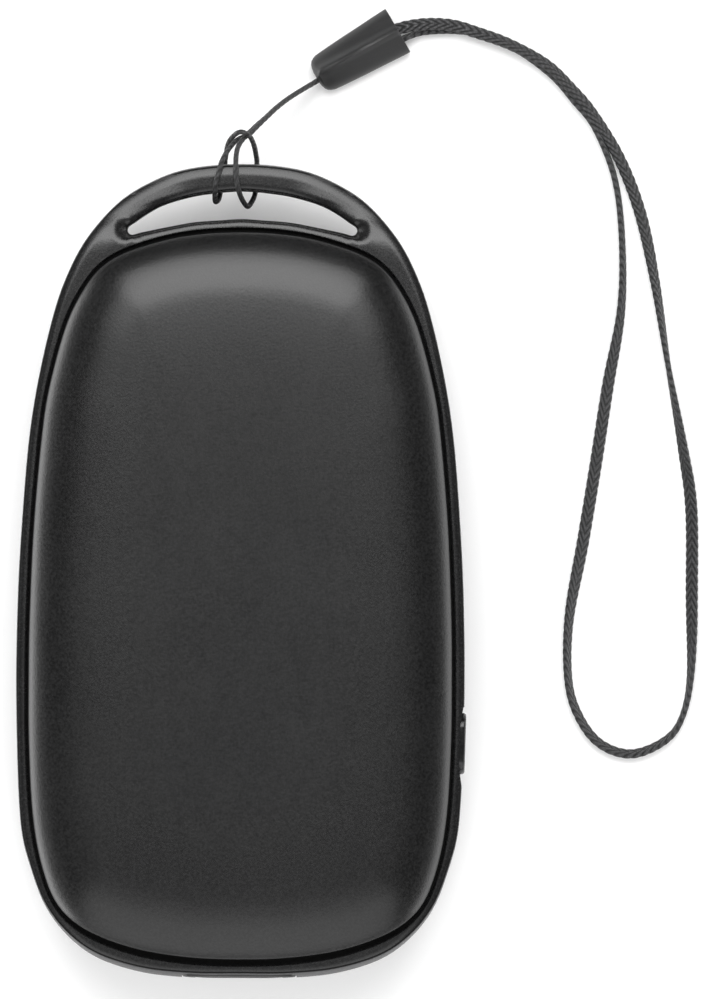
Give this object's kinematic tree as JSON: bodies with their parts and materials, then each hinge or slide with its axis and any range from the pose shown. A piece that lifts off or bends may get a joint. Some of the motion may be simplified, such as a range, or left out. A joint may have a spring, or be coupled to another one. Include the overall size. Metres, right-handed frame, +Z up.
{
  "type": "rechargeable hand warmer",
  "caption": "Palm-size rechargeable hand warmer with domed metal covers, a carrying loop with a wrist lanyard, a side button and a power-bank port end",
  "frame": {"origin": "under the middle of the case, on the surface that its back cover rests on", "axes": "+Z up out of the front cover, +Y along the case from the port end to the carrying loop, +X to the side with the button"},
  "size_m": [0.102, 0.1451, 0.027],
  "materials": {
    "cover_front": "satin black anodised, fine blasted grain",
    "cover_back": "satin black anodised, fine blasted grain",
    "bezel_front": "satin black moulding",
    "bezel_back": "satin black moulding",
    "frame": "semi-gloss grey-black moulding",
    "port_insert": "fine-textured black insert",
    "button": "gloss black key",
    "switch_body": "black moulded housing",
    "switch_plunger": "black plunger",
    "light_pipe": "clear moulded rod",
    "led": "pale yellow package",
    "board": "green solder mask",
    "usb_shell": "nickel-plated steel",
    "usb_tongue": "black contact carrier",
    "charging_shell": "nickel-plated steel",
    "charging_tongue": "black contact carrier",
    "controller": "black package",
    "charger": "black package",
    "inductor": "grey ferrite drum",
    "cradle": "white moulded carrier",
    "cell_left": "blue sleeve on a steel can",
    "cell_right": "blue sleeve on a steel can",
    "tab_upper": "nickel strip",
    "tab_lower": "nickel strip",
    "heater_front": "amber film heater",
    "heater_back": "amber film heater",
    "foam_front": "grey foam",
    "foam_back": "grey foam",
    "thermistor": "amber glass bead",
    "screw_1": "zinc-plated",
    "screw_2": "zinc-plated",
    "screw_3": "zinc-plated",
    "screw_4": "zinc-plated",
    "screw_5": "zinc-plated",
    "screw_6": "zinc-plated",
    "lead_red": "red insulation",
    "lead_black": "black insulation",
    "lead_front": "black insulation",
    "lead_back": "black insulation",
    "cord": "fine charcoal braid",
    "bead": "satin dark grey moulding",
    "strap": "flat charcoal braid"
  },
  "bodies": {
    "case": {"front_cover": "cover_front", "back_cover": "cover_back", "front_bezel": "bezel_front", "back_bezel": "bezel_back", "mid_frame": "frame", "port_surround": "port_insert", "tact_switch_body": "switch_body", "indicator_light_pipe": "light_pipe", "indicator_led": "led", "main_circuit_board": "board", "usb_output_shell": "usb_shell", "usb_output_tongue": "usb_tongue", "charging_port_shell": "charging_shell", "charging_port_tongue": "charging_tongue", "controller_chip": "controller", "charger_chip": "charger", "boost_inductor": "inductor", "cell_cradle": "cradle", "battery_cell_left": "cell_left", "battery_cell_right": "cell_right", "upper_cell_tab": "tab_upper", "lower_cell_tab": "tab_lower", "front_heater": "heater_front", "back_heater": "heater_back", "front_foam_pad": "foam_front", "back_foam_pad": "foam_back", "thermistor": "thermistor", "cradle_screw_1": "screw_1", "cradle_screw_2": "screw_2", "cradle_screw_3": "screw_3", "cradle_screw_4": "screw_4", "board_screw_1": "screw_5", "board_screw_2": "screw_6", "positive_lead": "lead_red", "negative_lead": "lead_black", "front_heater_lead": "lead_front", "back_heater_lead": "lead_back", "lanyard_cord": "cord", "lanyard_bead": "bead", "wrist_strap": "strap"},
    "button": {"power_button": "button"},
    "plunger": {"tact_switch_plunger": "switch_plunger"}
  },
  "joints": [
    {"name": "button_press", "type": "slide", "parent": "case", "child": "button", "axis": [-1, 0, 0], "range_m": [0, 0.0003], "stiffness_N_per_m": 900},
    {"name": "plunger_press", "type": "slide", "parent": "case", "child": "plunger", "axis": [-1, 0, 0], "range_m": [0, 0.0003]}
  ],
  "couplings": [
    {"joint": "plunger_press", "follows": "button_press", "ratio": 1}
  ]
}
